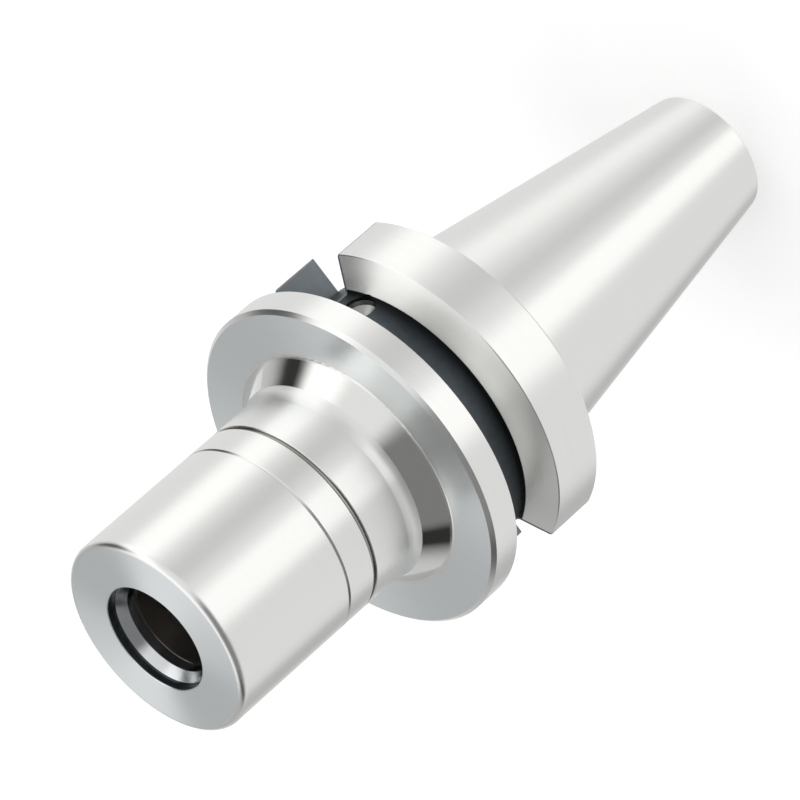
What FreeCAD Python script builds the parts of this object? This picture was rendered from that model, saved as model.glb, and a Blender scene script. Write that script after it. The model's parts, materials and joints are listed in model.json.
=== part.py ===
# Collet chuck holder with a 7:24 taper shank of size 30.
#
# The tool axis is Z. The origin is the centre of the gauge plane, where the taper is 31.75 mm across,
# and +Z runs towards the clamping nut. The pieces are the holder body, the clamping nut, the thrust
# ring that spins inside the nut, the wire ring that keeps it there, and the depth-stop screw in the
# holder's bore. All sizes are in millimetres.
import FreeCAD, Part
import math
import os

# Taper shank
GAUGE_DIAMETER = 31.75
TAPER_RATE = 7.0 / 24.0
SHANK_LENGTH = 48.4
SHANK_END_CHAMFER = 0.25
GRIND_RELIEF_WIDTH = 1.2
GRIND_RELIEF_DEPTH = 0.4
GRIND_RELIEF_FILLET = 0.2

# Flange with its gripper groove
FLANGE_DIAMETER = 46.0
FLANGE_GAP = 2.0
FLANGE_THICKNESS = 20.0
FLANGE_BACK_CHAMFER = 0.4
FLANGE_NOSE_CHAMFER = 0.5
GROOVE_CENTRE = 13.6
GROOVE_WIDTH = 8.0
GROOVE_ANGLE = 60.0
GROOVE_DEPTH = 4.0
GROOVE_FILLET = 0.6
GROOVE_EDGE_BREAK = 0.1

# Two drive keyways, on +X and -X
KEYWAY_WIDTH = 16.1
KEYWAY_FLOOR = 16.3
KEYWAY_LENGTH = 14.5
KEYWAY_END_RADIUS = 2.0
KEYWAY_EDGE_BREAK = 0.25
KEYWAY_ENTRY_ROUND = 1.2

# Balance hole in the bottom of the groove
BALANCE_HOLE_DIAMETER = 4.0
BALANCE_HOLE_DEPTH = 1.2
BALANCE_HOLE_ANGLE = -36.5
DRILL_POINT_ANGLE = 118.0

# Conical step and nose
STEP_HEIGHT = 2.9
STEP_EDGE_DIAMETER = 28.5
STEP_SLOPE = 39.0
STEP_FILLET = 0.35
NOSE_FILLET = 4.0
NOSE_DIAMETER = 27.5
NOSE_LENGTH = 10.8
NOSE_EDGE_BREAK = 0.1
# raised land on the nose's shoulder, which the nut's rear face stands over
SEAT_LAND_DIAMETER = 26.9
SEAT_LAND_GAP = 0.15

# Nut thread on the nose
NUT_THREAD_DIAMETER = 21.0
NUT_THREAD_PITCH = 1.0
NUT_THREAD_LENGTH = 16.2
THREAD_RELIEF_WIDTH = 2.0
THREAD_RELIEF_DEPTH = 0.7
THREAD_CHAMFER = 0.7

# Collet socket and the bores behind it
SOCKET_MOUTH_DIAMETER = 14.5
SOCKET_HALF_ANGLE = 4.0
SOCKET_DEPTH = 30.0
SOCKET_MOUTH_CHAMFER = 0.3
SOCKET_RELIEF_DIAMETER = 11.2
SOCKET_RELIEF_LENGTH = 6.0
STOP_THREAD_DIAMETER = 10.0
STOP_THREAD_PITCH = 1.0
STOP_THREAD_LENGTH = 27.0
COOLANT_HOLE_DIAMETER = 5.0

# Pull stud seat at the small end
STUD_PILOT_DIAMETER = 12.5
STUD_PILOT_DEPTH = 7.0
STUD_MOUTH_DIAMETER = 14.0
STUD_THREAD_HOLE_DIAMETER = 10.2
STUD_THREAD_DEPTH = 24.0

# Clamping nut
NUT_DIAMETER = 27.5
NUT_LENGTH = 24.0
NUT_REAR_GAP = 0.5
NUT_FACE_ROUND = 0.9
NUT_REAR_CHAMFER = 0.15
NUT_ENTRY_CHAMFER = 0.5
NUT_LIP_THICKNESS = 4.0
NUT_MOUTH_DIAMETER = 14.8
NUT_MOUTH_EDGE_BREAK = 0.15
MARK_LINE_HEIGHT = 4.5
MARK_LINE_WIDTH = 0.4
MARK_LINE_DEPTH = 0.2

# Thrust ring inside the nut
RING_BORE_DIAMETER = 13.0
RING_RECESS = 1.15
RING_FRONT_LAND = 0.15
RING_FRONT_CONE_DEPTH = 1.35
RING_BORE_LENGTH = 1.3
RING_UNDERCUT_WIDTH = 0.2
RING_UNDERCUT_DEPTH = 0.2
RING_REAR_BORE_DIAMETER = 13.2
RING_SEAT_HALF_ANGLE = 30.0
RING_SEAT_DEPTH = 1.1
RING_SLEEVE_DIAMETER = 17.2
RING_SHOULDER_DIAMETER = 18.6
RING_SHOULDER_THICKNESS = 2.2
RING_EDGE_BREAK = 0.2

# Wire ring that keeps the thrust ring in the nut
WIRE_DIAMETER = 1.0
WIRE_CENTRE_DIAMETER = 18.9
WIRE_OPENING_ANGLE = 20.0

# Depth-stop screw
STOP_SCREW_LENGTH = 14.0
STOP_SCREW_HEAD_GAP = 2.0
STOP_SCREW_CHAMFER = 0.6
STOP_SOCKET_WIDTH = 5.0
STOP_SOCKET_DEPTH = 5.0
STOP_HOLE_DIAMETER = 2.6

# Depth of a metric screw's thread as a share of its pitch; the solids stop at the thread's root
SCREW_THREAD_DEPTH = 0.6134

# Clearances
RUNNING_FIT = 0.05
BOTTOMING_GAP = 0.3
OVERCUT = 1.0

# Heights along the axis
shank_end_z = -SHANK_LENGTH
flange_back_z = FLANGE_GAP
flange_face_z = flange_back_z + FLANGE_THICKNESS
groove_back_z = GROOVE_CENTRE - GROOVE_WIDTH / 2
groove_front_z = GROOVE_CENTRE + GROOVE_WIDTH / 2
step_edge_z = flange_face_z + STEP_HEIGHT
shoulder_z = flange_face_z + NOSE_LENGTH
nose_end_z = shoulder_z + NUT_THREAD_LENGTH
nut_rear_z = shoulder_z + NUT_REAR_GAP
nut_face_z = nut_rear_z + NUT_LENGTH
nut_lip_z = nut_face_z - NUT_LIP_THICKNESS
nut_stop_z = nose_end_z + BOTTOMING_GAP
ring_shoulder_front_z = nut_lip_z - RUNNING_FIT
ring_rear_z = ring_shoulder_front_z - RING_SHOULDER_THICKNESS
ring_front_z = nut_face_z - RING_RECESS
wire_front_z = ring_rear_z - RUNNING_FIT
wire_z = wire_front_z - WIRE_DIAMETER / 2
socket_end_z = nose_end_z - SOCKET_DEPTH
stop_thread_top_z = socket_end_z - SOCKET_RELIEF_LENGTH
stop_thread_end_z = stop_thread_top_z - STOP_THREAD_LENGTH
stop_screw_top_z = stop_thread_top_z - STOP_SCREW_HEAD_GAP
stud_thread_end_z = shank_end_z + STUD_THREAD_DEPTH


def vec(r, z):
    """A point of a turned profile, at radius r and height z."""
    return FreeCAD.Vector(r, 0, z)


def rounded_wire(corners):
    """A closed outline through corners (r, z) or (r, z, radius), with tangent arcs at the rounded ones."""
    points = [vec(c[0], c[1]) for c in corners]
    radii = [c[2] if len(c) > 2 else 0 for c in corners]
    starts = []
    ends = []
    arcs = []
    for i, corner in enumerate(points):
        to_last = (points[i - 1] - corner).normalize()
        to_next = (points[(i + 1) % len(points)] - corner).normalize()
        half_angle = to_last.getAngle(to_next) / 2
        reach = radii[i] / math.tan(half_angle)
        start = corner + to_last * reach
        end = corner + to_next * reach
        if radii[i] > 0:
            inward = (to_last + to_next).normalize()
            middle = corner + inward * (radii[i] / math.sin(half_angle) - radii[i])
            arcs.append(Part.Arc(start, middle, end).toShape())
        else:
            arcs.append(None)
        starts.append(start)
        ends.append(end)
    edges = []
    for i in range(len(points)):
        if arcs[i] is not None:
            edges.append(arcs[i])
        edges.append(Part.LineSegment(ends[i], starts[(i + 1) % len(points)]).toShape())
    return Part.Wire(edges)


def turned(corners, angle=360):
    """A solid of revolution about the tool axis."""
    face = Part.Face(rounded_wire(corners))
    return face.revolve(FreeCAD.Vector(0, 0, 0), FreeCAD.Vector(0, 0, 1), angle)


def prism(points, along):
    """A straight prism on a polygon of points."""
    outline = Part.makePolygon([FreeCAD.Vector(*p) for p in points + points[:1]])
    return Part.Face(outline).extrude(FreeCAD.Vector(*along))


def taper_radius(z):
    """Radius of the 7:24 taper at height z."""
    return GAUGE_DIAMETER / 2 + z * TAPER_RATE / 2


def body_blank():
    """The turned outside of the holder, from the small end of the taper to the end of the nose."""
    rim = FLANGE_DIAMETER / 2
    groove_bottom = rim - GROOVE_DEPTH
    flank_run = (rim - groove_bottom) * math.tan(math.radians(GROOVE_ANGLE / 2))
    relief_z = flange_back_z - GRIND_RELIEF_WIDTH
    relief = taper_radius(relief_z) - GRIND_RELIEF_DEPTH
    step_edge = STEP_EDGE_DIAMETER / 2
    step_foot = step_edge + STEP_HEIGHT * math.tan(math.radians(STEP_SLOPE))
    nose = NOSE_DIAMETER / 2
    flare = step_edge - nose
    nose_fillet_run = math.sqrt(flare * (2 * NOSE_FILLET - flare))
    seat_land = SEAT_LAND_DIAMETER / 2
    seat_land_z = nut_rear_z - SEAT_LAND_GAP
    crest = NUT_THREAD_DIAMETER / 2
    thread = crest - SCREW_THREAD_DEPTH * NUT_THREAD_PITCH
    thread_relief = crest - THREAD_RELIEF_DEPTH
    thread_end = crest - THREAD_CHAMFER
    thread_start_z = shoulder_z + THREAD_RELIEF_WIDTH
    corners = [
        (0, shank_end_z),
        (taper_radius(shank_end_z) - SHANK_END_CHAMFER, shank_end_z),
        (taper_radius(shank_end_z + SHANK_END_CHAMFER), shank_end_z + SHANK_END_CHAMFER),
        (taper_radius(relief_z), relief_z),
        (relief, relief_z + GRIND_RELIEF_DEPTH),
        (relief, flange_back_z, GRIND_RELIEF_FILLET),
        (rim - FLANGE_BACK_CHAMFER, flange_back_z),
        (rim, flange_back_z + FLANGE_BACK_CHAMFER),
        (rim, groove_back_z - GROOVE_EDGE_BREAK),
        (rim - GROOVE_EDGE_BREAK, groove_back_z),
        (groove_bottom, groove_back_z + flank_run, GROOVE_FILLET),
        (groove_bottom, groove_front_z - flank_run, GROOVE_FILLET),
        (rim - GROOVE_EDGE_BREAK, groove_front_z),
        (rim, groove_front_z + GROOVE_EDGE_BREAK),
        (rim, flange_face_z - FLANGE_NOSE_CHAMFER),
        (rim - FLANGE_NOSE_CHAMFER, flange_face_z),
        (step_foot, flange_face_z, STEP_FILLET),
        (step_edge, step_edge_z),
        (nose, step_edge_z + nose_fillet_run),
        (nose, shoulder_z - NOSE_EDGE_BREAK),
        (nose - NOSE_EDGE_BREAK, shoulder_z),
        (seat_land, shoulder_z),
        (seat_land, seat_land_z),
        (thread_relief, seat_land_z, GRIND_RELIEF_FILLET),
        (thread_relief, thread_start_z - (thread - thread_relief)),
        (thread, thread_start_z),
        (thread, nose_end_z - (thread - thread_end)),
        (thread_end, nose_end_z),
        (0, nose_end_z),
    ]
    blank = turned(corners)
    return blank.cut(nose_fillet_ring(nose, step_edge_z + nose_fillet_run, step_edge))


def nose_fillet_ring(nose, start_z, step_edge):
    """The hollow of the large fillet between the nose and the edge of the step."""
    centre_r = nose + NOSE_FILLET
    reach = OVERCUT + step_edge
    ring = Part.makeTorus(centre_r, NOSE_FILLET, FreeCAD.Vector(0, 0, start_z))
    keep = Part.makeCylinder(reach, start_z - step_edge_z, FreeCAD.Vector(0, 0, step_edge_z))
    return ring.common(keep)


def bore_tool():
    """Everything that is hollow along the holder's axis, as one solid to cut away."""
    mouth = SOCKET_MOUTH_DIAMETER / 2
    socket_end = mouth - SOCKET_DEPTH * math.tan(math.radians(SOCKET_HALF_ANGLE))
    relief = SOCKET_RELIEF_DIAMETER / 2
    stop = STOP_THREAD_DIAMETER / 2 + RUNNING_FIT
    coolant = COOLANT_HOLE_DIAMETER / 2
    stud = STUD_THREAD_HOLE_DIAMETER / 2
    pilot = STUD_PILOT_DIAMETER / 2
    entry = STUD_MOUTH_DIAMETER / 2
    pilot_end_z = shank_end_z + STUD_PILOT_DEPTH
    point_run = (stud - coolant) / math.tan(math.radians(DRILL_POINT_ANGLE / 2))
    stop_point_run = (stop - coolant) / math.tan(math.radians(DRILL_POINT_ANGLE / 2))
    corners = [
        (0, shank_end_z - OVERCUT),
        (entry, shank_end_z - OVERCUT),
        (entry, shank_end_z),
        (pilot, shank_end_z + (entry - pilot)),
        (pilot, pilot_end_z),
        (stud, pilot_end_z + (pilot - stud)),
        (stud, stud_thread_end_z),
        (coolant, stud_thread_end_z + point_run),
        (coolant, stop_thread_end_z - stop_point_run),
        (stop, stop_thread_end_z),
        (stop, stop_thread_top_z - (relief - stop)),
        (relief, stop_thread_top_z),
        (relief, socket_end_z),
        (socket_end, socket_end_z),
        (mouth, nose_end_z - SOCKET_MOUTH_CHAMFER),
        (mouth + SOCKET_MOUTH_CHAMFER, nose_end_z),
        (mouth + SOCKET_MOUTH_CHAMFER, nose_end_z + OVERCUT),
        (0, nose_end_z + OVERCUT),
    ]
    return turned(corners)


def keyway_entry_round(wall_y, inner_x, outer_x):
    """What a rounded edge takes off where the keyway's +Y wall meets the back of the flange."""
    size = KEYWAY_ENTRY_ROUND
    block = Part.makeBox(
        outer_x - inner_x,
        size + OVERCUT,
        size + OVERCUT,
        FreeCAD.Vector(inner_x, wall_y - OVERCUT, flange_back_z - OVERCUT),
    )
    centre = FreeCAD.Vector(inner_x, wall_y + size, flange_back_z + size)
    return block.cut(Part.makeCylinder(size, outer_x - inner_x, centre, FreeCAD.Vector(1, 0, 0)))


def keyway_tool(side):
    """One drive keyway on the +X side (side = 1) or the -X side (side = -1), with its broken edges."""
    half = KEYWAY_WIDTH / 2
    outside = FLANGE_DIAMETER / 2 + OVERCUT
    slot = Part.makeBox(
        outside - KEYWAY_FLOOR,
        KEYWAY_WIDTH,
        KEYWAY_LENGTH + OVERCUT,
        FreeCAD.Vector(KEYWAY_FLOOR, -half, flange_back_z - OVERCUT),
    )
    end_z = flange_back_z + KEYWAY_LENGTH
    end_edges = [
        edge
        for edge in slot.Edges
        if abs(edge.CenterOfMass.z - end_z) < RUNNING_FIT and abs(abs(edge.CenterOfMass.y) - half) < RUNNING_FIT
    ]
    slot = slot.makeFillet(KEYWAY_END_RADIUS, end_edges)
    rim_corner_x = math.sqrt((FLANGE_DIAMETER / 2) ** 2 - half**2)
    break_x = rim_corner_x - KEYWAY_EDGE_BREAK
    flare = outside - break_x
    rim_break = prism(
        [
            (break_x, -half, flange_back_z - OVERCUT),
            (outside, -half - flare, flange_back_z - OVERCUT),
            (outside, half + flare, flange_back_z - OVERCUT),
            (break_x, half, flange_back_z - OVERCUT),
        ],
        (0, 0, groove_back_z + OVERCUT - flange_back_z + OVERCUT),
    )
    entry_rounds = [keyway_entry_round(half, KEYWAY_FLOOR, outside)]
    entry_rounds.append(entry_rounds[0].mirror(FreeCAD.Vector(0, 0, 0), FreeCAD.Vector(0, 1, 0)))
    tool = slot.fuse([rim_break] + entry_rounds)
    if side < 0:
        tool.rotate(FreeCAD.Vector(0, 0, 0), FreeCAD.Vector(0, 0, 1), 180)
    return tool


def balance_hole_tool():
    """A drill, with its point, that removes weight from the bottom of the groove."""
    radius = BALANCE_HOLE_DIAMETER / 2
    point = radius / math.tan(math.radians(DRILL_POINT_ANGLE / 2))
    floor = FLANGE_DIAMETER / 2 - GROOVE_DEPTH - BALANCE_HOLE_DEPTH
    out = FreeCAD.Vector(1, 0, 0)
    length = FLANGE_DIAMETER / 2 - floor
    drill = Part.makeCylinder(radius, length, FreeCAD.Vector(floor, 0, GROOVE_CENTRE), out)
    tip = Part.makeCone(0, radius, point, FreeCAD.Vector(floor - point, 0, GROOVE_CENTRE), out)
    tool = drill.fuse(tip)
    tool.rotate(FreeCAD.Vector(0, 0, 0), FreeCAD.Vector(0, 0, 1), BALANCE_HOLE_ANGLE)
    return tool


def holder_body():
    """Shank, flange and nose, turned, ground and milled from one piece of steel."""
    body = body_blank().cut(bore_tool())
    for side in (1, -1):
        body = body.cut(keyway_tool(side))
    return body.cut(balance_hole_tool())


def clamping_nut():
    """The round nut, with its thread bore, the thrust ring's seat and the groove for the wire ring."""
    outside = NUT_DIAMETER / 2
    thread = NUT_THREAD_DIAMETER / 2 + RUNNING_FIT
    seat = RING_SHOULDER_DIAMETER / 2 + RUNNING_FIT
    groove = (WIRE_CENTRE_DIAMETER + WIRE_DIAMETER) / 2 + RUNNING_FIT
    mouth = NUT_MOUTH_DIAMETER / 2
    mark_z = nut_rear_z + MARK_LINE_HEIGHT
    corners = [
        (thread + NUT_ENTRY_CHAMFER, nut_rear_z),
        (outside - NUT_REAR_CHAMFER, nut_rear_z),
        (outside, nut_rear_z + NUT_REAR_CHAMFER),
        (outside, mark_z - MARK_LINE_WIDTH / 2),
        (outside - MARK_LINE_DEPTH, mark_z),
        (outside, mark_z + MARK_LINE_WIDTH / 2),
        (outside, nut_face_z, NUT_FACE_ROUND),
        (mouth + NUT_MOUTH_EDGE_BREAK, nut_face_z),
        (mouth, nut_face_z - NUT_MOUTH_EDGE_BREAK),
        (mouth, nut_lip_z),
        (seat, nut_lip_z),
        (seat, wire_front_z + RUNNING_FIT),
        (groove, wire_front_z + RUNNING_FIT),
        (groove, wire_front_z - WIRE_DIAMETER - RUNNING_FIT),
        (seat, wire_front_z - WIRE_DIAMETER - RUNNING_FIT),
        (seat, nut_stop_z),
        (thread, nut_stop_z),
        (thread, nut_rear_z + NUT_ENTRY_CHAMFER),
    ]
    return turned(corners)


def thrust_ring():
    """The stepped ring that presses on the collet while the nut turns about it."""
    spigot = NUT_MOUTH_DIAMETER / 2 - RUNNING_FIT
    shoulder = RING_SHOULDER_DIAMETER / 2
    sleeve = RING_SLEEVE_DIAMETER / 2
    bore = RING_BORE_DIAMETER / 2
    rear_bore = RING_REAR_BORE_DIAMETER / 2
    undercut = bore + RING_UNDERCUT_DEPTH
    bore_front_z = ring_front_z - RING_FRONT_CONE_DEPTH
    bore_rear_z = bore_front_z - RING_BORE_LENGTH
    sleeve_end_z = nut_stop_z + RUNNING_FIT
    seat_mouth = rear_bore + RING_SEAT_DEPTH * math.tan(math.radians(RING_SEAT_HALF_ANGLE))
    corners = [
        (seat_mouth, sleeve_end_z),
        (sleeve, sleeve_end_z),
        (sleeve, ring_rear_z),
        (shoulder - RING_EDGE_BREAK, ring_rear_z),
        (shoulder, ring_rear_z + RING_EDGE_BREAK),
        (shoulder, ring_shoulder_front_z),
        (spigot, ring_shoulder_front_z),
        (spigot, ring_front_z),
        (spigot - RING_FRONT_LAND, ring_front_z),
        (bore, bore_front_z),
        (bore, bore_rear_z),
        (undercut, bore_rear_z),
        (undercut, bore_rear_z - RING_UNDERCUT_WIDTH),
        (rear_bore, bore_rear_z - RING_UNDERCUT_WIDTH),
        (rear_bore, sleeve_end_z + RING_SEAT_DEPTH),
    ]
    return turned(corners)


def retaining_wire():
    """An open ring of round spring wire in the nut's groove."""
    centre = FreeCAD.Vector(WIRE_CENTRE_DIAMETER / 2, 0, wire_z)
    section = Part.Circle(centre, FreeCAD.Vector(0, 1, 0), WIRE_DIAMETER / 2)
    face = Part.Face(Part.Wire([section.toShape()]))
    axis = FreeCAD.Vector(0, 0, 1)
    return face.revolve(FreeCAD.Vector(0, 0, 0), axis, 360 - WIRE_OPENING_ANGLE)


def stop_screw():
    """The set screw behind the collet, with a hexagon socket and a hole for coolant."""
    radius = STOP_THREAD_DIAMETER / 2 - SCREW_THREAD_DEPTH * STOP_THREAD_PITCH
    bottom_z = stop_screw_top_z - STOP_SCREW_LENGTH
    blank = turned([
        (0, bottom_z),
        (radius - STOP_SCREW_CHAMFER, bottom_z),
        (radius, bottom_z + STOP_SCREW_CHAMFER),
        (radius, stop_screw_top_z - STOP_SCREW_CHAMFER),
        (radius - STOP_SCREW_CHAMFER, stop_screw_top_z),
        (0, stop_screw_top_z),
    ])
    socket_floor_z = stop_screw_top_z - STOP_SOCKET_DEPTH
    corner = STOP_SOCKET_WIDTH / math.sqrt(3)
    hexagon = [
        (corner * math.cos(math.radians(60 * i)), corner * math.sin(math.radians(60 * i)), socket_floor_z)
        for i in range(6)
    ]
    socket = prism(hexagon, (0, 0, STOP_SOCKET_DEPTH + OVERCUT))
    hole = Part.makeCylinder(
        STOP_HOLE_DIAMETER / 2,
        STOP_SCREW_LENGTH + OVERCUT,
        FreeCAD.Vector(0, 0, bottom_z - OVERCUT),
    )
    return blank.cut(socket).cut(hole)


NODES = {
    "holder_body": holder_body,
    "clamping_nut": clamping_nut,
    "thrust_ring": thrust_ring,
    "retaining_wire": retaining_wire,
    "stop_screw": stop_screw,
}

os.makedirs("parts", exist_ok=True)
for name, make in NODES.items():
    shape = make()
    shape.exportStep("parts/" + name + ".step")
    box = shape.BoundBox
    print(name, "solids", len(shape.Solids), "valid", shape.isValid(), "volume", round(shape.Volume, 1),
          "z", round(box.ZMin, 2), round(box.ZMax, 2))
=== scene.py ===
# %% [markdown]
# # A collet chuck holder
# The holder is a hardened steel tool shank with a steep taper, a V-grooved flange and a round screw nut
# over a collet socket. The solids come in already placed, so this lesson gives them their steel, adds the
# fine threads that the solids leave out, and sets up the floor, the light and the camera.

# %% Load the frame
import bmesh
import bpy
import json
import math
from mathutils import Matrix, Vector

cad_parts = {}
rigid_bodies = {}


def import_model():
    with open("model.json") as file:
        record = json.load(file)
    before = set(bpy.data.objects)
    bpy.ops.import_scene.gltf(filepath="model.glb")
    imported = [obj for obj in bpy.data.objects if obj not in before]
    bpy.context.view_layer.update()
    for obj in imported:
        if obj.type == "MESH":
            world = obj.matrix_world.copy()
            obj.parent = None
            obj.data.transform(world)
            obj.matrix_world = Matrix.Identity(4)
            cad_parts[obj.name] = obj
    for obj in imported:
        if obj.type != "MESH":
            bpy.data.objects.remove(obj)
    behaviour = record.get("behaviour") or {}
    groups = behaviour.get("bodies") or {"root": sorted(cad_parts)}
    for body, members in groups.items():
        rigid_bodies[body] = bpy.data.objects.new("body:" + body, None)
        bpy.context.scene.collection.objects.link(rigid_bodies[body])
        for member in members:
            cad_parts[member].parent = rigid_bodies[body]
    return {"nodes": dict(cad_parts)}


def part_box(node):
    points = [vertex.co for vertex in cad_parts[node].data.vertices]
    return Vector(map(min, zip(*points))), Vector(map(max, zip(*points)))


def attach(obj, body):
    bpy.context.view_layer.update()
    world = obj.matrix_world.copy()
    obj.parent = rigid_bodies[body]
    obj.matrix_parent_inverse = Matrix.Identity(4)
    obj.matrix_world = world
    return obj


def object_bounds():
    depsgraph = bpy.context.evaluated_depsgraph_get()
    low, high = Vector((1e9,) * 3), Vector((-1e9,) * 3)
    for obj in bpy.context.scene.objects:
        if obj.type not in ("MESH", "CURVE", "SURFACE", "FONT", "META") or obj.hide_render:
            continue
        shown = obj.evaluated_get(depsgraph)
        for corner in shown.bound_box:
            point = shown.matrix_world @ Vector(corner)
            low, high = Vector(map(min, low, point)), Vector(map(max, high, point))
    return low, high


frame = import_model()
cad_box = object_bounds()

MM = 0.001
print("nodes:", ", ".join(sorted(frame["nodes"])))
print("size in mm:", [round(x / MM, 2) for x in cad_box[1] - cad_box[0]])

# %% [markdown]
# ## Two helpers for every finish
# Colours are written as sRGB hex, the way a colour picker shows them, and Cycles works in linear light, so
# one function turns the first into the second. A second function adds a node with its settings and its
# links, which keeps each material short enough to read in one go.

# %% Colour and node helpers
def linear(hex_colour):
    """An sRGB hex colour such as "#c8c8c4" as linear red, green, blue and alpha."""
    parts = [int(hex_colour[i:i + 2], 16) / 255 for i in (1, 3, 5)]
    return [c / 12.92 if c <= 0.04045 else ((c + 0.055) / 1.055) ** 2.4 for c in parts] + [1]


def add(tree, kind, values={}, links={}, **settings):
    """One new node: settings are its own properties, values and links go to its inputs by name or number."""
    node = tree.nodes.new("ShaderNode" + kind)
    for name, value in settings.items():
        setattr(node, name, value)
    for key, value in values.items():
        node.inputs[key].default_value = value
    for key, socket in links.items():
        tree.links.new(socket, node.inputs[key])
    return node


def blank_material(name):
    """A new material with only its output node."""
    material = bpy.data.materials.new(name)
    material.use_nodes = True
    material.node_tree.nodes.clear()
    return material, material.node_tree


print("mid grey #808080 in linear light:", round(linear("#808080")[0], 3))

# %% [markdown]
# ## Where on the turned part?
# One node of the holder carries several finishes: ground outsides, a dark unground groove bottom and
# keyways, a turned face. Painting them by face would need the mesh cut up. The holder is turned about the
# Z axis, so a point's distance from the axis and its height say which surface it is on, and both can be
# worked out in the material from Object coordinates.

# %% Distance from the axis, height, and bands between two values
def turned_place(tree):
    """A point, its separate X, Y and Z, and its distance from the Z axis, as sockets in metres."""
    place = add(tree, "TexCoord").outputs["Object"]
    xyz = add(tree, "SeparateXYZ", links={0: place}).outputs
    flat = add(tree, "VectorMath", {1: (1, 1, 0)}, {0: place}, operation="MULTIPLY")
    radius = add(tree, "VectorMath", links={0: flat.outputs[0]}, operation="LENGTH")
    return place, xyz, radius.outputs["Value"]


def band(tree, value, low, high, soft=0.04):
    """1 where the value is between low and high, in mm, and 0 outside, with an edge soft mm wide."""
    rise = add(tree, "MapRange", {1: (low - soft) * MM, 2: (low + soft) * MM}, {0: value})
    fall = add(tree, "MapRange", {1: (high - soft) * MM, 2: (high + soft) * MM, 3: 1, 4: 0}, {0: value})
    both = add(tree, "Math", links={0: rise.outputs[0], 1: fall.outputs[0]}, operation="MULTIPLY")
    return both.outputs[0]


def all_of(tree, *masks):
    """1 where every mask is 1."""
    result = masks[0]
    for mask in masks[1:]:
        result = add(tree, "Math", links={0: result, 1: mask}, operation="MULTIPLY").outputs[0]
    return result


def any_of(tree, *masks):
    """1 where at least one mask is 1."""
    result = masks[0]
    for mask in masks[1:]:
        result = add(tree, "Math", links={0: result, 1: mask}, operation="MAXIMUM").outputs[0]
    return result


# %% [markdown]
# ## Marks that run round the axis
# A grinding wheel or a turning tool leaves fine lines round the part. They are a noise that changes
# quickly with height and distance from the axis and slowly round it. The real lines are a few hundredths
# of a millimetre apart, too fine to show here, so they are drawn about 0.15 mm apart and kept faint.

# %% Lines left by grinding and turning
GROUND_LINES, TURNED_LINES = 0.15, 0.1
LINE_LENGTH = 16.7


def per_metre(size):
    """How many marks of a size in mm fit in a metre, which is the scale of a noise in metres."""
    return 1 / (size * MM)


def lay_lines(tree, place, radius, height, spacing):
    """A noise between 0 and 1 whose lines run round the axis, spacing mm apart."""
    stretched = add(tree, "CombineXYZ", links={0: radius, 1: height})
    thin, long = per_metre(spacing), per_metre(LINE_LENGTH)
    across = add(tree, "VectorMath", {1: (thin,) * 3}, {0: stretched.outputs[0]}, operation="MULTIPLY")
    around = add(tree, "VectorMath", {1: (long, long, 0)}, {0: place}, operation="MULTIPLY")
    both = add(tree, "VectorMath", links={0: across.outputs[0], 1: around.outputs[0]}, operation="ADD")
    return add(tree, "TexNoise", {"Scale": 1, "Detail": 2}, {"Vector": both.outputs[0]}).outputs[0]


# %% Metal with its grain round the axis
def grained_round_axis(tree, colour, roughness, bump):
    """A metal that is glossy round the Z axis and duller along it, sent to the material's output."""
    tangent = add(tree, "Tangent", direction_type="RADIAL", axis="Z")
    steel = add(
        tree, "BsdfPrincipled", {"Metallic": 1, "Anisotropic": 0.85, "Anisotropic Rotation": 0.25},
        {"Base Color": colour, "Roughness": roughness, "Normal": bump, "Tangent": tangent.outputs[0]})
    add(tree, "OutputMaterial", links={0: steel.outputs[0]})


print("scale of the ground lines:", round(per_metre(GROUND_LINES)), "a metre")

# %% [markdown]
# ## Ground tool steel, the holder
# The holder is case-hardened steel, such as 16MnCr5, ground on every outside surface that locates it.
# Grinding round the axis makes the surface glossy around the axis and duller along it, so reflections draw
# out into bands along the part: that is the shader's anisotropy, with its tangent taken round Z. The groove
# bottom and the keyways are left as they were hardened, a dull dark blue-grey with patches about a
# millimetre across; the balance hole is drilled afterwards, so it is a lighter grey. The groove also has a
# painted shade, blackest by the rear flank and fading out a little over 3 mm higher up.

# %% Where each finish lies on the holder, in mm
# LOW and HIGH are heights, INNER and OUTER are distances from the axis. FACE is the flange's front face,
# STEP the conical step on it, and LAND the raised land under the nut. Each span is a little wider than the
# surface that it covers, and a keyway's takes in its broken edges.
GROOVE_INNER, GROOVE_OUTER = 18.5, 19.45
GROOVE_LOW, GROOVE_HIGH = 9.7, 17.5
DRILLED_INNER = 12
GROOVE_SHADE_LOW, GROOVE_SHADE_HIGH = 12.0, 15.2
KEYWAY_HALF_WIDTH, KEYWAY_FLOOR = 8.34, 16.2
KEYWAY_LOW, KEYWAY_HIGH = 1.9, 16.56
FACE_LOW, FACE_HIGH, FACE_INNER, FACE_OUTER = 21.9, 22.28, 17, 22.6
STEP_TOP, STEP_INNER, STEP_OUTER = 24.88, 14, 17.4
LAND_LOW, LAND_HIGH, LAND_INNER, LAND_OUTER = 32.75, 33.4, 10, 13.6
BORE_OUTER = 8.0
SCALE_PATCH = 1.11
# Below zero and past the rim, so that a band from the axis or out to the rim has no edge there.
AXIS, BEYOND_RIM = -1, 24


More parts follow.
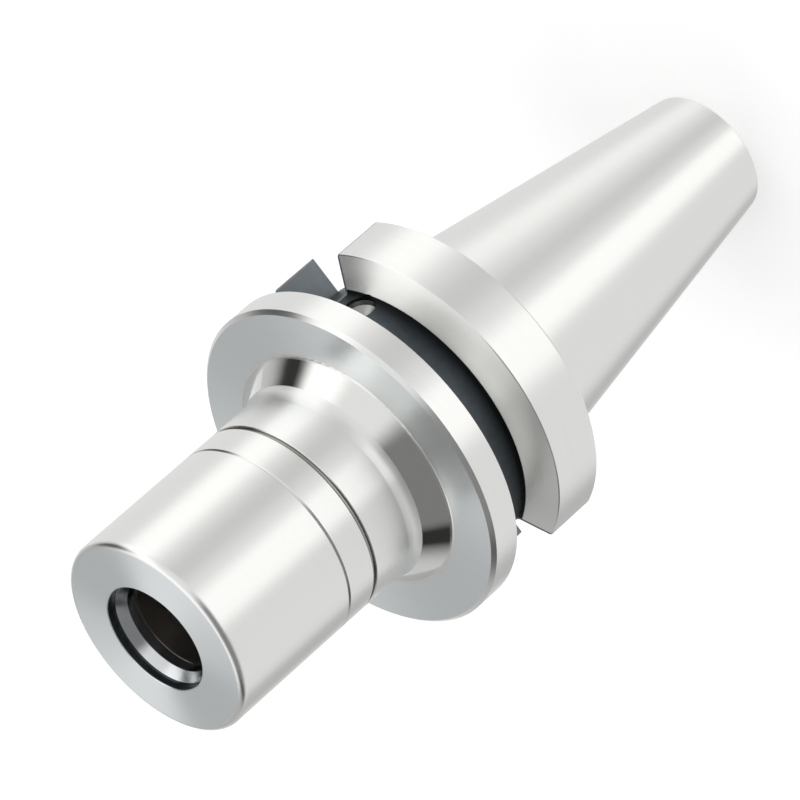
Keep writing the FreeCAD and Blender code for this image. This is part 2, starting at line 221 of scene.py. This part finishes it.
# %% Ground tool steel
def ground_tool_steel():
    material, tree = blank_material("ground_tool_steel")
    place, xyz, radius = turned_place(tree)
    z = xyz["Z"]
    lines = lay_lines(tree, place, radius, z, GROUND_LINES)
    far_x = add(tree, "Math", links={0: xyz["X"]}, operation="ABSOLUTE").outputs[0]
    far_y = add(tree, "Math", links={0: xyz["Y"]}, operation="ABSOLUTE").outputs[0]

    groove_span = band(tree, z, GROOVE_LOW, GROOVE_HIGH)
    groove = all_of(tree, band(tree, radius, GROOVE_INNER, GROOVE_OUTER), groove_span)
    drilled = all_of(tree, band(tree, radius, DRILLED_INNER, GROOVE_INNER), groove_span)
    between_walls = band(tree, far_y, AXIS, KEYWAY_HALF_WIDTH, 0.02)
    above_floor = band(tree, far_x, KEYWAY_FLOOR, BEYOND_RIM, 0.02)
    keyway = all_of(tree, between_walls, above_floor, band(tree, z, KEYWAY_LOW, KEYWAY_HIGH, 0.02))
    bore = band(tree, radius, AXIS, BORE_OUTER)
    face = all_of(tree, band(tree, z, FACE_LOW, FACE_HIGH, 0.01), band(tree, radius, FACE_INNER, FACE_OUTER))
    step = all_of(tree, band(tree, z, FACE_HIGH, STEP_TOP, 0.02), band(tree, radius, STEP_INNER, STEP_OUTER))
    land = all_of(tree, band(tree, z, LAND_LOW, LAND_HIGH, 0.01), band(tree, radius, LAND_INNER, LAND_OUTER))

    patches = {"Scale": per_metre(SCALE_PATCH), "Detail": 3}
    cloud = add(tree, "TexNoise", patches, {"Vector": place}).outputs[0]
    # Painted shade: the groove's colour is darkened towards the rear flank, to 0.12 of it at the lowest.
    shade_span = {1: GROOVE_SHADE_LOW * MM, 2: GROOVE_SHADE_HIGH * MM, 3: 0.12, 4: 1}
    painted_shade = add(tree, "MapRange", shade_span, {0: z}).outputs[0]
    soot = add(tree, "MixRGB", {1: linear("#4d5459"), 2: linear("#61686c")}, {0: cloud})
    groove_scale_and_shade = add(tree, "MixRGB", {0: 1}, {1: soot.outputs[0], 2: painted_shade}, blend_type="MULTIPLY")
    keyway_grey = add(tree, "MixRGB", {1: linear("#787f83"), 2: linear("#878d90")}, {0: cloud})
    bright = add(tree, "MixRGB", {1: linear("#e8e8e5"), 2: linear("#efefed")}, {0: lines})
    turned = add(tree, "MixRGB", {2: linear("#eaeeef")}, {0: face, 1: bright.outputs[0]})
    with_bore = add(tree, "MixRGB", {2: linear("#dad7d3")}, {0: bore, 1: turned.outputs[0]})
    with_hole = add(tree, "MixRGB", {2: linear("#a9aaa8")}, {0: drilled, 1: with_bore.outputs[0]})
    with_groove = add(tree, "MixRGB", links={0: groove, 1: with_hole.outputs[0], 2: groove_scale_and_shade.outputs[0]})
    with_keyway = add(tree, "MixRGB", links={0: keyway, 1: with_groove.outputs[0], 2: keyway_grey.outputs[0]})
    # Painted shade: the land is a darker grey, for the shade in the gap under the nut.
    colour = add(tree, "MixRGB", {2: linear("#a8a6a0")}, {0: land, 1: with_keyway.outputs[0]})

    fine = add(tree, "MapRange", {3: 0.24, 4: 0.28}, {0: lines}).outputs[0]
    unground = any_of(tree, groove, keyway)
    face_rough = add(tree, "MixRGB", {2: (0.27, 0.27, 0.27, 1)}, {0: face, 1: fine})
    step_rough = add(tree, "MixRGB", {2: (0.09, 0.09, 0.09, 1)}, {0: step, 1: face_rough.outputs[0]})
    roughness = add(tree, "MixRGB", {2: (0.45, 0.45, 0.45, 1)}, {0: unground, 1: step_rough.outputs[0]})
    height = add(tree, "MixRGB", links={0: unground, 1: lines, 2: cloud})
    bump = add(tree, "Bump", {"Strength": 0.03, "Distance": 0.003 * MM}, {"Height": height.outputs[0]})
    grained_round_axis(tree, colour.outputs[0], roughness.outputs[0], bump.outputs[0])
    return material


frame["nodes"]["holder_body"].material_slots[0].material = ground_tool_steel()
print("holder_body: ground tool steel")

# %% [markdown]
# ## Ground and turned steel, the nut
# The nut is ground outside like the holder, and its front face is turned to a slightly bluer satin. Its
# mouth and its threaded bore are only turned, and their dark grey is painted shade.

# %% Nut steel
NUT_FACE_LOW, NUT_FACE_HIGH, NUT_FACE_INNER, NUT_FACE_OUTER = 57.2, 58, 7.5, 13.0
NUT_MOUTH_OUTER = 7.46
NUT_BORE_OUTER, NUT_BORE_LOW, NUT_BORE_HIGH = 12, 33.4, 56.2


def nut_steel():
    material, tree = blank_material("ground_nut_steel")
    place, xyz, radius = turned_place(tree)
    z = xyz["Z"]
    lines = lay_lines(tree, place, radius, z, GROUND_LINES)
    face_height = band(tree, z, NUT_FACE_LOW, NUT_FACE_HIGH, 0.02)
    face = all_of(tree, face_height, band(tree, radius, NUT_FACE_INNER, NUT_FACE_OUTER))
    bore_height = band(tree, z, NUT_BORE_LOW, NUT_BORE_HIGH)
    thread_bore = all_of(tree, band(tree, radius, AXIS, NUT_BORE_OUTER), bore_height)
    # Painted shade: the mouth and the threaded bore inside the nut are painted a dark grey.
    inside = any_of(tree, band(tree, radius, AXIS, NUT_MOUTH_OUTER, 0.02), thread_bore)
    bright = add(tree, "MixRGB", {1: linear("#e8e8e5"), 2: linear("#efefed")}, {0: lines})
    turned = add(tree, "MixRGB", {2: linear("#eaeeef")}, {0: face, 1: bright.outputs[0]})
    colour = add(tree, "MixRGB", {2: linear("#5f666b")}, {0: inside, 1: turned.outputs[0]})
    fine = add(tree, "MapRange", {3: 0.24, 4: 0.28}, {0: lines})
    roughness = add(tree, "MixRGB", {2: (0.42, 0.42, 0.42, 1)}, {0: face, 1: fine.outputs[0]})
    bump = add(tree, "Bump", {"Strength": 0.03, "Distance": 0.003 * MM}, {"Height": lines})
    grained_round_axis(tree, colour.outputs[0], roughness.outputs[0], bump.outputs[0])
    return material


frame["nodes"]["clamping_nut"].material_slots[0].material = nut_steel()
print("clamping_nut: ground nut steel")

# %% [markdown]
# ## Turned bearing steel, the thrust ring, and drawn spring steel, the wire ring
# The thrust ring is finely turned bearing steel, such as 100Cr6, smoother and a little darker than the
# ground parts: bright on its front cone, a painted-shade grey in the bore behind it, and a warmer grey at
# its rear. The wire is drawn spring steel, darker and rougher, in spots a third of a millimetre across,
# which is coarser than the real grain.

# %% Thrust ring and wire ring
RING_CONE_LOW, RING_CONE_HIGH = 54.83, 57
RING_REAR_LOW, RING_REAR_HIGH = 40, 53.35
WIRE_GRAIN = 0.333


def turned_bearing_steel():
    material, tree = blank_material("turned_bearing_steel")
    place, xyz, radius = turned_place(tree)
    z = xyz["Z"]
    lines = lay_lines(tree, place, radius, z, TURNED_LINES)
    cone = band(tree, z, RING_CONE_LOW, RING_CONE_HIGH, 0.02)
    bright = add(tree, "MixRGB", {1: linear("#dadddf"), 2: linear("#e6e8e8")}, {0: lines})
    # Painted shade: the ring's bore behind its cone is a darker grey.
    bore_shade_grey = add(tree, "MixRGB", {1: linear("#989ea2"), 2: linear("#a3a8ab")}, {0: lines})
    behind = band(tree, z, RING_REAR_LOW, RING_REAR_HIGH, 0.02)
    rear = add(tree, "MixRGB", {2: linear("#b0aba6")}, {0: behind, 1: bore_shade_grey.outputs[0]})
    colour = add(tree, "MixRGB", links={0: cone, 1: rear.outputs[0], 2: bright.outputs[0]})
    rough = add(tree, "MapRange", {3: 0.16, 4: 0.22}, {0: lines})
    bump = add(tree, "Bump", {"Strength": 0.15, "Distance": 0.003 * MM}, {"Height": lines})
    grained_round_axis(tree, colour.outputs[0], rough.outputs[0], bump.outputs[0])
    return material


def drawn_spring_steel():
    material, tree = blank_material("drawn_spring_steel")
    place = add(tree, "TexCoord").outputs["Object"]
    spots = {"Scale": per_metre(WIRE_GRAIN), "Detail": 2}
    grain = add(tree, "TexNoise", spots, {"Vector": place}).outputs[0]
    colour = add(tree, "MixRGB", {1: linear("#8b8c8e"), 2: linear("#a5a5a4")}, {0: grain})
    rough = add(tree, "MapRange", {3: 0.3, 4: 0.4}, {0: grain})
    steel = add(
        tree, "BsdfPrincipled", {"Metallic": 1},
        {"Base Color": colour.outputs[0], "Roughness": rough.outputs[0]})
    add(tree, "OutputMaterial", links={0: steel.outputs[0]})
    return material


frame["nodes"]["thrust_ring"].material_slots[0].material = turned_bearing_steel()
frame["nodes"]["retaining_wire"].material_slots[0].material = drawn_spring_steel()
print("thrust_ring: turned bearing steel, retaining_wire: drawn spring steel")

# %% [markdown]
# ## Black-oxide steel, the stop screw
# Set screws are blackened in a hot oxide bath and oiled. The oxide is a thin dark layer with a soft sheen
# over steel, so the shader is half metal and half a dark dielectric. Its grain is drawn 0.4 mm across,
# coarser than the real one.

# %% Black oxide
OXIDE_GRAIN = 0.4


def black_oxide_steel():
    material, tree = blank_material("black_oxide_steel")
    place = add(tree, "TexCoord").outputs["Object"]
    spots = {"Scale": per_metre(OXIDE_GRAIN), "Detail": 3}
    grain = add(tree, "TexNoise", spots, {"Vector": place}).outputs[0]
    colour = add(tree, "MixRGB", {1: linear("#26272a"), 2: linear("#3a3a3c")}, {0: grain})
    rough = add(tree, "MapRange", {3: 0.38, 4: 0.5}, {0: grain})
    oxide = add(
        tree, "BsdfPrincipled", {"Metallic": 0.5},
        {"Base Color": colour.outputs[0], "Roughness": rough.outputs[0]})
    add(tree, "OutputMaterial", links={0: oxide.outputs[0]})
    return material


frame["nodes"]["stop_screw"].material_slots[0].material = black_oxide_steel()
print("stop_screw: black-oxide steel")

# %% [markdown]
# ## The fine threads
# The solids stop at the roots of the threads. A screw thread is one ridge wound round the axis, so each
# one is a small tapered profile, a little steeper than a 60-degree thread's, spun about Z while it climbs
# one pitch a turn. A helix modifier could do it too, but the spin keeps the real pitch and hand in plain
# sight. The profile starts a little inside the metal it grows from, so no gap shows at its foot, and it
# grows out of the metal over its first and last third of a turn, as a cut thread runs in and out.

# %% One thread ridge
STEPS_PER_TURN = 72


def thread_ridge(name, foot, crest, foot_width, crest_width, pitch, start, end):
    """A right-hand thread ridge; radii, widths, pitch and heights are in mm."""
    bm = bmesh.new()
    half_foot, half_crest = foot_width / 2, crest_width / 2
    outline = [(foot, -half_foot), (crest, -half_crest), (crest, half_crest), (foot, half_foot)]
    first = [bm.verts.new((r * MM, 0, h * MM)) for r, h in outline]
    edges = [bm.edges.new((first[i], first[(i + 1) % 4])) for i in range(4)]
    turns = (end - start) / pitch
    steps = round(turns * STEPS_PER_TURN)
    spun = bmesh.ops.spin(
        bm, geom=first + edges, cent=(0, 0, 0), axis=(0, 0, 1), dvec=(0, 0, pitch * MM / STEPS_PER_TURN),
        angle=2 * math.pi * steps / STEPS_PER_TURN, steps=steps, use_merge=False, use_duplicate=False)
    last = [v for v in spun["geom_last"] if isinstance(v, bmesh.types.BMVert)]
    run_out = pitch * MM / 3
    height = steps * pitch * MM / STEPS_PER_TURN
    for vert in bm.verts:
        out_of_metal = abs(vert.co.xy.length - foot * MM)
        if out_of_metal > abs(vert.co.xy.length - crest * MM):
            to_start, to_end = vert.co.z / run_out, (height - vert.co.z) / run_out
            grown = min(1, max(0.02, to_start + 0.1), max(0.02, to_end + 0.1))
            radius = (foot + (crest - foot) * grown) * MM
            vert.co.xy *= radius / vert.co.xy.length
    bmesh.ops.contextual_create(bm, geom=first)
    bmesh.ops.contextual_create(bm, geom=last)
    bmesh.ops.translate(bm, verts=bm.verts, vec=(0, 0, start * MM))
    bmesh.ops.recalc_face_normals(bm, faces=bm.faces)
    mesh = bpy.data.meshes.new(name)
    bm.to_mesh(mesh)
    bm.free()
    piece = bpy.data.objects.new(name, mesh)
    bpy.context.scene.collection.objects.link(piece)
    print(name, "turns", round(turns, 1), "faces", len(mesh.polygons))
    return piece


# %% [markdown]
# The nose and the nut share one 21 x 1 thread. A nut climbs 1 mm a turn, so its ridge stays in the nose's
# groove wherever the nut stands, as long as the two start half a pitch apart. So one start is measured
# from the solids and the other is worked out from it.

# %% Threads of the nose and the nut
PITCH = 1.0
NOSE_THREAD_LENGTH = 13.7
nose_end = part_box("holder_body")[1].z / MM
nose_start = nose_end - NOSE_THREAD_LENGTH
nut_start = nose_start - PITCH / 2
nose_thread = thread_ridge(
    "nose_thread", foot=9.8, crest=10.45, foot_width=0.80, crest_width=0.14,
    pitch=PITCH, start=nose_start, end=nose_end - 0.4)
nut_thread = thread_ridge(
    "nut_thread", foot=10.6, crest=10.02, foot_width=0.80, crest_width=0.20,
    pitch=PITCH, start=nut_start, end=nose_end - 0.2)
print("nose and nut ridges apart:", round((nose_start - nut_start) % PITCH, 2), "mm")

# %% [markdown]
# The stop screw is an M10 x 1 screw deep in the bore. Its hole is threaded over most of the screw's travel,
# and at its highest the screw stands partly out of the thread, in the collet's bore.

# %% Threads of the stop screw and its hole
HOLE_THREAD_END = 12.6
SCREW_PLAIN_END = 0.7
screw_low, screw_high = (corner.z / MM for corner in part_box("stop_screw"))
screw_start = screw_low + SCREW_PLAIN_END
hole_start = screw_start - 10.5 * PITCH
screw_thread = thread_ridge(
    "stop_screw_thread", foot=4.3, crest=4.94, foot_width=0.80, crest_width=0.14,
    pitch=PITCH, start=screw_start, end=screw_high - SCREW_PLAIN_END)
hole_thread = thread_ridge(
    "stop_hole_thread", foot=5.1, crest=4.53, foot_width=0.80, crest_width=0.20,
    pitch=PITCH, start=hole_start, end=HOLE_THREAD_END)
print("screw and hole ridges apart:", round((screw_start - hole_start) % PITCH, 2), "mm")

# %% Each thread rides with its own body and wears its steel
for piece, node, body, slot_name in (
        (nose_thread, "holder_body", "holder", "ground_steel"),
        (nut_thread, "clamping_nut", "nut", "nut_steel"),
        (screw_thread, "stop_screw", "stop_screw", "blackened_steel"),
        (hole_thread, "holder_body", "holder", "ground_steel")):
    piece.data.materials.append(frame["nodes"][node].material_slots[0].material)
    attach(piece, body)
    print(piece.name, "rides with", body)

# %% [markdown]
# ## Floor
# A plain pale floor under the small end of the shank, which keeps a soft shadow. The camera sees part of
# its white as its own light, so that little of a line shows where the floor meets the white room. The floor
# is hidden from reflections, so that the steel mirrors the room below it too, as a part that is held up in
# the middle of a light tent does.

# %% Floor
bm = bmesh.new()
bmesh.ops.create_grid(bm, x_segments=4, y_segments=4, size=4)
bmesh.ops.translate(bm, verts=bm.verts, vec=(0, 0, cad_box[0].z))
floor_mesh = bpy.data.meshes.new("floor")
bm.to_mesh(floor_mesh)
bm.free()
floor = bpy.data.objects.new("floor", floor_mesh)
bpy.context.scene.collection.objects.link(floor)
material, tree = blank_material("pale_floor")
camera_ray = add(tree, "LightPath").outputs["Is Camera Ray"]
paint = add(tree, "BsdfDiffuse", {"Color": linear("#d8d8d8")})
own_light = add(tree, "Math", {1: 0.45}, {0: camera_ray}, operation="MULTIPLY").outputs[0]
glow = add(tree, "Emission", {"Color": (1, 1, 1, 1)}, {"Strength": own_light})
both = add(tree, "AddShader", links={0: paint.outputs[0], 1: glow.outputs[0]})
add(tree, "OutputMaterial", links={0: both.outputs[0]})
floor_mesh.materials.append(material)
floor.visible_glossy = False
print("floor at z =", round(cad_box[0].z / MM, 1), "mm")

# %% [markdown]
# ## The light tent
# Shiny steel shows its room, so the room matters more than the lamps. Small metal parts are shot in a
# white tent with soft boxes for the bright bands and cards for the dark ones. The tent is the world: an
# even white, to which each box adds light and from which each card takes some. A box or card is a
# soft-edged rectangle of directions, placed by its angle to the right of the camera and above the level.
# An upright wall of the part that faces some angle away from the camera mirrors the room at twice that
# angle, which says where a box has to stand for its band to fall where it is wanted.

# %% Directions in the room
CAMERA_AZIMUTH, CAMERA_ELEVATION = 277.4, 31.56


def direction(azimuth, elevation):
    """The unit vector towards a place in the room; azimuth 0 is +X and 90 is +Y."""
    a, e = math.radians(azimuth), math.radians(elevation)
    return Vector((math.cos(e) * math.cos(a), math.cos(e) * math.sin(a), math.sin(e)))


def within(tree, angle, middle, size, edge):
    """1 where the angle is within size of its middle, falling to 0 over a soft edge; degrees."""
    shifted = add(tree, "Math", {1: math.radians(middle)}, {0: angle}, operation="SUBTRACT")
    off = add(tree, "Math", links={0: shifted.outputs[0]}, operation="ABSOLUTE")
    inner, outer = math.radians(size / 2 - edge), math.radians(size / 2 + edge)
    fall = add(
        tree, "MapRange", {1: inner, 2: outer, 3: 1, 4: 0}, {0: off.outputs[0]},
        interpolation_type="SMOOTHSTEP")
    return fall.outputs[0]


def place_in_room(tree, looking, level, right, up, width, height, light, edge=10):
    """The room's level with one box (light above 0) or card (light below 0) added; degrees."""
    turn = -math.radians(CAMERA_AZIMUTH + right)
    facing = add(tree, "VectorRotate", {"Angle": turn}, {"Vector": looking}, rotation_type="Z_AXIS")
    xyz = add(tree, "SeparateXYZ", links={0: facing.outputs[0]})
    sideways = add(tree, "Math", links={0: xyz.outputs["Y"], 1: xyz.outputs["X"]}, operation="ARCTAN2")
    upwards = add(tree, "Math", links={0: xyz.outputs["Z"]}, operation="ARCSINE")
    across = within(tree, sideways.outputs[0], 0, width, edge)
    shape = all_of(tree, across, within(tree, upwards.outputs[0], up, height, edge))
    return add(tree, "Math", {1: light}, {0: shape, 2: level}, operation="MULTIPLY_ADD").outputs[0]


print("front of the part is seen from azimuth", CAMERA_AZIMUTH)

# %% The tent's even white
TENT_WHITE = 0.87
world = bpy.data.worlds.new("light_tent")
world.use_nodes = True
bpy.context.scene.world = world
tree = world.node_tree
tree.nodes.clear()
looking = add(tree, "TexCoord").outputs["Generated"]
level = add(tree, "Value").outputs[0]
level.default_value = TENT_WHITE

# %% Soft boxes
# Low in front and a little left, for the band along the middle of the nut and the shank.
level = place_in_room(tree, looking, level, right=-15, up=-35, width=40, height=80, light=0.4)
# A tall strip on the right, for the second band and for the bright side of the step.
level = place_in_room(tree, looking, level, right=80, up=5, width=35, height=100, light=0.4)
# Overhead, for the groove's flank, and high behind, a little to the right, for the turned faces.
level = place_in_room(tree, looking, level, right=0, up=90, width=400, height=25, light=0.3)
level = place_in_room(tree, looking, level, right=160, up=60, width=150, height=35, light=0.6)

# %% Cards
# Between the two front boxes, so that their bands stay apart.
level = place_in_room(tree, looking, level, right=35, up=-30, width=25, height=60, light=-0.2)
# The tent's open side, behind the camera and on its left.
level = place_in_room(tree, looking, level, right=-60, up=40, width=120, height=75, light=-0.65, edge=15)
# The far wall, which the turned faces mirror, is further from the boxes and so greyer.
level = place_in_room(tree, looking, level, right=180, up=25, width=150, height=50, light=-0.4)
# A dark card behind on the right and a grey one behind on the left, which draw the part's edges.
level = place_in_room(tree, looking, level, right=115, up=30, width=35, height=35, light=-0.6, edge=6)
level = place_in_room(tree, looking, level, right=-140, up=-25, width=35, height=40, light=-0.35)

# %% The tent as the world
# Where two boxes or two cards overlap, the level stays between these.
DARKEST, BRIGHTEST = 0.03, 1.25
above = add(tree, "Math", {1: DARKEST}, {0: level}, operation="MAXIMUM").outputs[0]
kept = add(tree, "Math", {1: BRIGHTEST}, {0: above}, operation="MINIMUM").outputs[0]
seen = add(tree, "LightPath").outputs["Is Camera Ray"]
strength = add(tree, "MixRGB", {2: (1, 1, 1, 1)}, {0: seen, 1: kept})
tent = add(tree, "Background", {"Strength": 1}, {"Color": strength.outputs[0]})
add(tree, "OutputWorld", links={0: tent.outputs[0]})
print("light tent: 4 soft boxes and 5 cards")

# %% [markdown]
# ## A lamp for the shadow
# The tent alone gives hardly any shadow. One large lamp above draws a soft one on the floor; it is hidden
# from reflections, because the tent's own boxes already make the steel's bright bands.

# %% Overhead lamp
lamp_data = bpy.data.lights.new("overhead_softbox", "AREA")
lamp_data.shape = "RECTANGLE"
lamp_data.size, lamp_data.size_y = 0.6, 0.6
lamp_data.energy = 2.0
lamp = bpy.data.objects.new("overhead_softbox", lamp_data)
lamp_place = Vector((-0.15, -0.2, 0.7))
lamp_turn = Vector((-0.15, -0.2, 0.75)).to_track_quat("Z", "Y")
lamp.matrix_world = Matrix.Translation(lamp_place) @ lamp_turn.to_matrix().to_4x4()
lamp.visible_glossy = False
bpy.context.scene.collection.objects.link(lamp)

# %% [markdown]
# ## Camera
# A long lens from 0.73 m away, 32 degrees above the level, rolled so that the tool axis runs across the
# frame from corner to corner.

# %% Camera
CAMERA_LENS = 267.3
CAMERA_ROLL = 131.3
CAMERA_DISTANCE = 726.25
aim = Vector((2.079, 0.270, 9.851)) * MM
look = -direction(CAMERA_AZIMUTH, CAMERA_ELEVATION)
level_right = look.cross(Vector((0, 0, 1))).normalized()
level_up = level_right.cross(look)
roll = math.radians(CAMERA_ROLL)
up = level_up * math.cos(roll) + level_right * math.sin(roll)
right = look.cross(up)
camera_data = bpy.data.cameras.new("camera")
camera_data.lens = CAMERA_LENS
camera_data.sensor_width = 36
camera_data.clip_start, camera_data.clip_end = 0.05, 20
camera = bpy.data.objects.new("camera", camera_data)
bpy.context.scene.collection.objects.link(camera)
camera_turn = Matrix((right, up, -look)).transposed().to_4x4()
camera.matrix_world = Matrix.Translation(aim - look * CAMERA_DISTANCE * MM) @ camera_turn
bpy.context.scene.camera = camera
bpy.context.scene.view_settings.view_transform = "Standard"
print("camera at", [round(c / MM, 1) for c in camera.matrix_world.translation], "mm")
